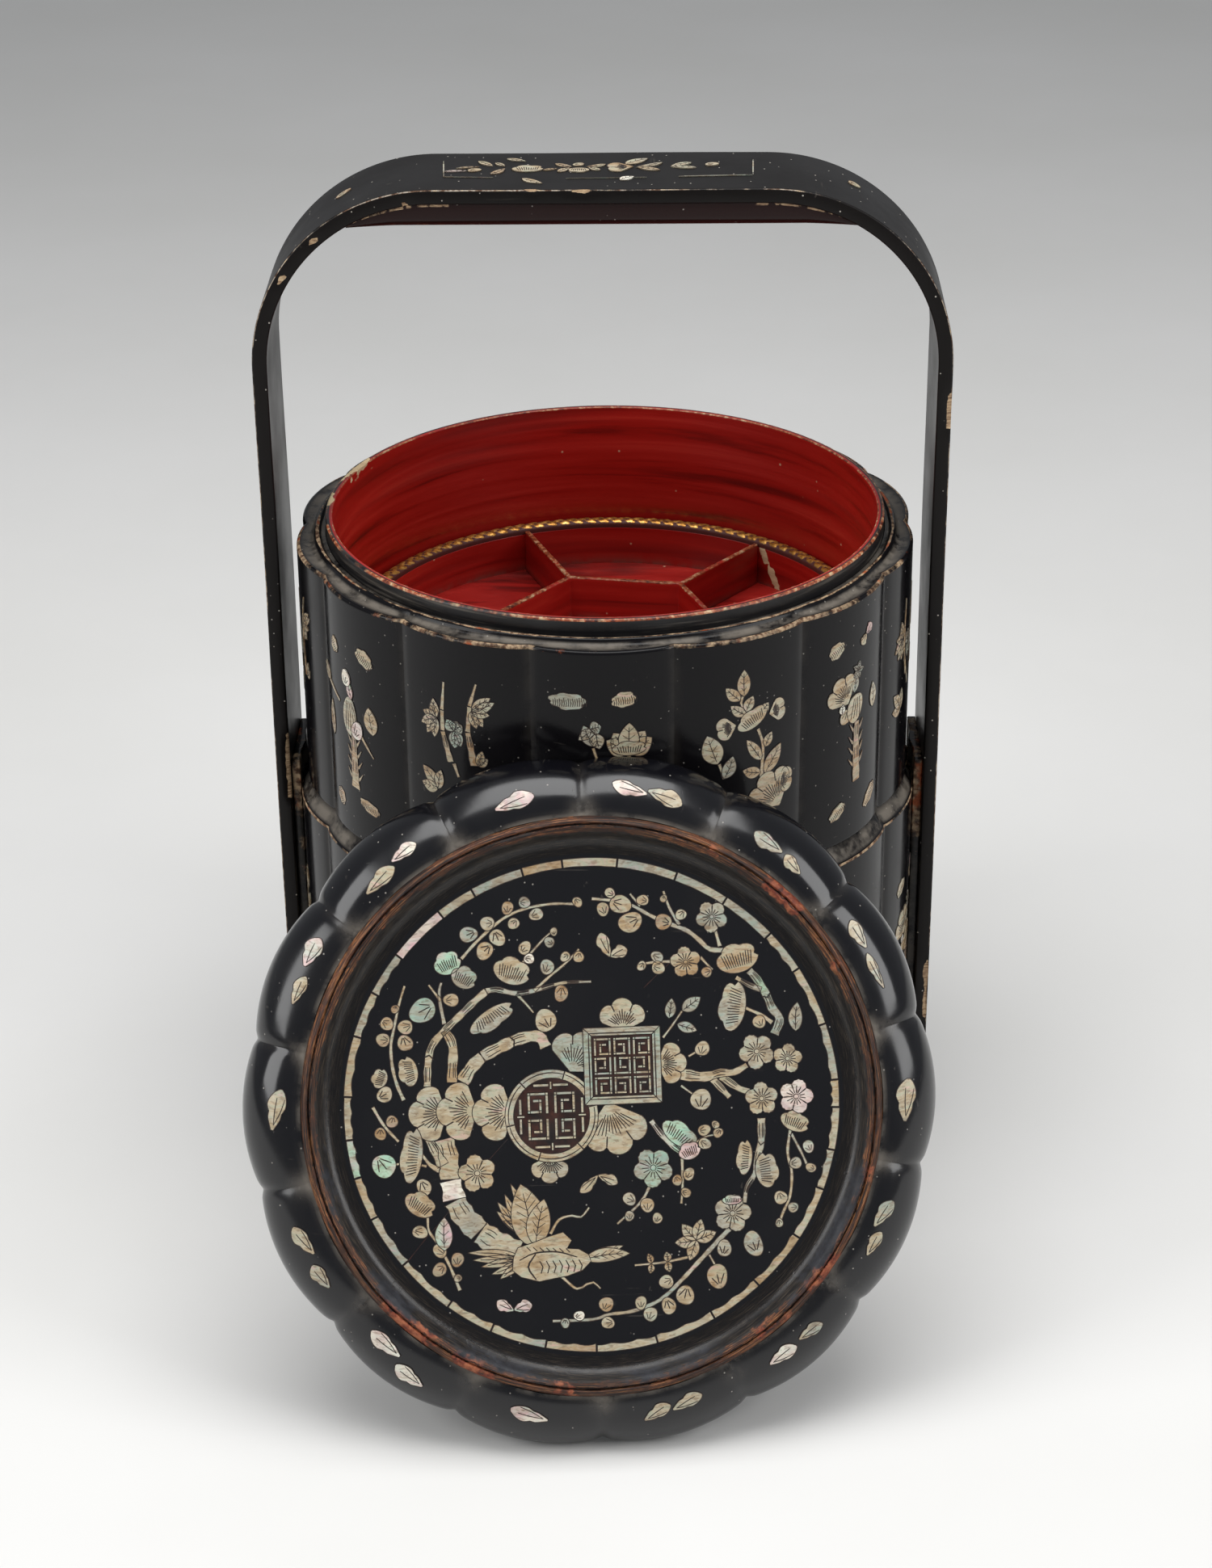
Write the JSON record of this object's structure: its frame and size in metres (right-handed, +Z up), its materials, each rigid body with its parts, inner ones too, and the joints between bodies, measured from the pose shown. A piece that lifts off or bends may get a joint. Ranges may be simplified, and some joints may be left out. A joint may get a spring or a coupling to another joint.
{
  "type": "tiered food basket",
  "caption": "Round lobed black lacquer food basket with a bentwood handle, a lift-off upper tier holding a divided red tray, and a shell-inlaid lid leaning in front.",
  "frame": {"origin": "on the axis of the round basket, at the underside of its base, which stands on the floor", "axes": "+Z up along the basket's axis; the handle's legs stand at -X and +X; the front, where the lid leans, faces -Y"},
  "size_m": [0.2936, 0.4139, 0.4495],
  "materials": {
    "black_lacquer": "glossy black lacquer over wood",
    "red_lacquer": "red lacquer over wood, brushed, satin",
    "gold_lacquer": "gold painted scroll on wood",
    "shell_inlay": "polished mother-of-pearl, engraved",
    "worn_lacquer": "lacquer worn through to red and orange coats",
    "bamboo": "plain split bamboo"
  },
  "bodies": {
    "container": {"base_plinth": "black_lacquer", "base_board": "black_lacquer", "container_wall": "black_lacquer", "container_floor": "red_lacquer", "container_liner": "red_lacquer", "container_shoulder": "black_lacquer", "handle_arch": "black_lacquer", "grip_bar": "black_lacquer", "leg_cheek_left": "black_lacquer", "leg_cheek_right": "black_lacquer", "dowel_left_1": "bamboo", "dowel_left_2": "bamboo", "dowel_right_1": "bamboo", "dowel_right_2": "bamboo"},
    "upper_tier": {"tier_wall": "black_lacquer", "tier_floor": "red_lacquer", "tier_liner": "red_lacquer", "tier_shoulder": "black_lacquer", "tray_bearer": "red_lacquer"},
    "tray": {"tray_floor": "red_lacquer", "tray_wall": "red_lacquer", "tray_rim": "gold_lacquer", "tray_hexagon": "red_lacquer", "tray_divider_1": "red_lacquer", "tray_divider_2": "red_lacquer", "tray_divider_3": "red_lacquer", "tray_divider_4": "red_lacquer", "tray_divider_5": "red_lacquer", "tray_divider_6": "red_lacquer"},
    "lid": {"lid_rim": "black_lacquer", "lid_seat_ring": "black_lacquer", "lid_panel": "black_lacquer", "lid_ridge": "worn_lacquer", "lid_pearl_border": "shell_inlay", "lid_medallion": "shell_inlay", "lid_square_panel": "shell_inlay"}
  },
  "joints": [
    {"name": "tier_lift", "type": "slide", "parent": "container", "child": "upper_tier", "axis": [0, 0, 1], "range_m": [0, 0.075]},
    {"name": "tray_lift", "type": "slide", "parent": "upper_tier", "child": "tray", "axis": [0, 0, 1], "range_m": [0, 0.085]},
    {"name": "lid_away", "type": "slide", "parent": "container", "child": "lid", "axis": [0.063, -0.9004, 0.4305], "range_m": [0, 0.25]}
  ]
}
